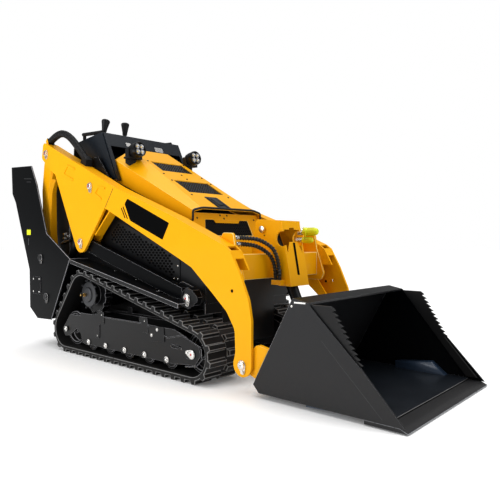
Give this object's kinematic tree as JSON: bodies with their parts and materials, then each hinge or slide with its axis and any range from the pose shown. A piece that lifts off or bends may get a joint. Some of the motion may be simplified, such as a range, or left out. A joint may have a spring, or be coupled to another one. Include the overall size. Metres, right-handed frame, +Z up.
{
  "type": "compact track loader",
  "caption": "Stand-on compact track loader with vertical-lift loader arms, a tilting bucket, rubber tracks, an opening hood and two work lamps.",
  "frame": {"origin": "on the ground, below the middle of the overall length and on the centre plane", "axes": "+X forward, +Y to the machine's left, +Z up"},
  "size_m": [2.76, 0.902, 1.3963],
  "materials": {
    "orange_paint": "gloss",
    "black_paint": "satin",
    "rubber": "matte",
    "chrome": "polished",
    "iron": "satin",
    "black_plastic": "matte",
    "zinc": "satin",
    "hose_rubber": "satin"
  },
  "bodies": {
    "machine": {"chassis": "black_paint", "control_levers": "black_plastic", "dash": "black_paint", "engine_block": "iron", "front_grille": "black_plastic", "front_idler_left": "black_paint", "front_idler_right": "black_paint", "front_panel": "orange_paint", "grab_handle_left": "black_plastic", "grab_handle_right": "black_plastic", "link_post_left": "black_paint", "link_post_right": "black_paint", "operator_platform": "black_paint", "rear_cover": "black_paint", "rear_idler_left": "black_paint", "rear_idler_right": "black_paint", "rollers_left": "black_paint", "rollers_right": "black_paint", "side_panel_left": "black_paint", "side_panel_right": "black_paint", "side_screen_left": "black_paint", "side_screen_right": "black_paint", "sprocket_left": "black_paint", "sprocket_right": "black_paint", "track_frame_left": "black_paint", "track_frame_right": "black_paint", "track_guard_left": "black_paint", "track_guard_right": "black_paint", "track_left": "rubber", "track_right": "rubber", "upright_left": "black_paint", "upright_right": "black_paint"},
    "hood": {"hood": "orange_paint", "work_lamp_right": "black_plastic", "work_lamp_left": "black_plastic", "hood_vents": "black_plastic"},
    "lift_arms": {"loader_arm_right": "orange_paint", "loader_arm_left": "orange_paint", "cross_member": "orange_paint", "tilt_bracket": "orange_paint", "arm_hoses": "hose_rubber", "couplers": "zinc", "rear_hoses": "hose_rubber"},
    "lower_link_right": {"lower_link_right": "black_paint"},
    "lower_link_left": {"lower_link_left": "black_paint"},
    "rear_link_right": {"rear_link_right": "orange_paint"},
    "rear_link_left": {"rear_link_left": "orange_paint"},
    "lift_barrel_right": {"lift_barrel_right": "black_paint"},
    "lift_barrel_left": {"lift_barrel_left": "black_paint"},
    "lift_rod_right": {"lift_rod_right": "chrome"},
    "lift_rod_left": {"lift_rod_left": "chrome"},
    "tilt_barrel": {"tilt_barrel": "black_paint"},
    "tilt_rod": {"tilt_rod": "chrome"},
    "bucket": {"bucket": "black_paint", "attach_plate": "black_paint", "cutting_edge": "black_paint", "side_cutter_right": "black_paint", "side_cutter_left": "black_paint", "hitch_lug_right": "orange_paint", "hitch_lug_left": "orange_paint"}
  },
  "joints": [
    {"name": "lift", "type": "hinge", "parent": "machine", "child": "lower_link_right", "pos_m": [0.283, -0.362, 0.378], "axis": [0, 1, 0], "range_deg": [0, 45.1]},
    {"name": "lower_link_left_swing", "type": "hinge", "parent": "machine", "child": "lower_link_left", "pos_m": [0.283, 0.362, 0.378], "axis": [0, 1, 0], "range_deg": [-0.2, 45.3]},
    {"name": "arms_on_lower_link", "type": "hinge", "parent": "lower_link_right", "child": "lift_arms", "pos_m": [-0.605, -0.362, 0.638], "axis": [0, 1, 0], "range_deg": [-102.41, 0.2]},
    {"name": "rear_link_right_swing", "type": "hinge", "parent": "machine", "child": "rear_link_right", "pos_m": [-1, -0.362, 0.542], "axis": [0, 1, 0], "range_deg": [-0.2, 14.8]},
    {"name": "lift_barrel_right_swing", "type": "hinge", "parent": "machine", "child": "lift_barrel_right", "pos_m": [-0.934, -0.362, 0.306], "axis": [0, 1, 0], "range_deg": [-7.29, 0.2]},
    {"name": "lift_rod_right_slide", "type": "slide", "parent": "lift_barrel_right", "child": "lift_rod_right", "axis": [0.552, 0, 0.8338], "range_m": [-0.002, 0.4978]},
    {"name": "rear_link_left_swing", "type": "hinge", "parent": "machine", "child": "rear_link_left", "pos_m": [-1, 0.362, 0.542], "axis": [0, 1, 0], "range_deg": [-0.2, 14.8]},
    {"name": "lift_barrel_left_swing", "type": "hinge", "parent": "machine", "child": "lift_barrel_left", "pos_m": [-0.934, 0.362, 0.306], "axis": [0, 1, 0], "range_deg": [-7.29, 0.2]},
    {"name": "lift_rod_left_slide", "type": "slide", "parent": "lift_barrel_left", "child": "lift_rod_left", "axis": [0.552, 0, 0.8338], "range_m": [-0.002, 0.4978]},
    {"name": "bucket_tilt", "type": "hinge", "parent": "lift_arms", "child": "bucket", "pos_m": [0.639, 0, 0.122], "axis": [0, 1, 0], "range_deg": [-18, 95]},
    {"name": "tilt_barrel_swing", "type": "hinge", "parent": "lift_arms", "child": "tilt_barrel", "pos_m": [0.478, 0, 0.702], "axis": [0, 1, 0], "range_deg": [-2, 0.54]},
    {"name": "tilt_rod_slide", "type": "slide", "parent": "tilt_barrel", "child": "tilt_rod", "axis": [0.4072, 0, -0.9133], "range_m": [-0.0349, 0.1758]},
    {"name": "hood_hinge", "type": "hinge", "parent": "machine", "child": "hood", "pos_m": [-0.478, 0, 1.182], "axis": [0, 1, 0], "range_deg": [-50, 0]}
  ],
  "couplings": [
    {"joint": "lower_link_left_swing", "follows": "lift", "ratio": 1},
    {"joint": "arms_on_lower_link", "follows": "lift", "ratio": -2.2662},
    {"joint": "rear_link_right_swing", "follows": "lift", "ratio": 0.32365},
    {"joint": "lift_barrel_right_swing", "follows": "lift", "ratio": -0.15714},
    {"joint": "lift_rod_right_slide", "follows": "lift", "m_per_rad": 0.62991},
    {"joint": "rear_link_left_swing", "follows": "lift", "ratio": 0.32365},
    {"joint": "lift_barrel_left_swing", "follows": "lift", "ratio": -0.15714},
    {"joint": "lift_rod_left_slide", "follows": "lift", "m_per_rad": 0.62991},
    {"joint": "tilt_barrel_swing", "follows": "bucket_tilt", "ratio": -0.019},
    {"joint": "tilt_rod_slide", "follows": "bucket_tilt", "m_per_rad": 0.1048}
  ]
}
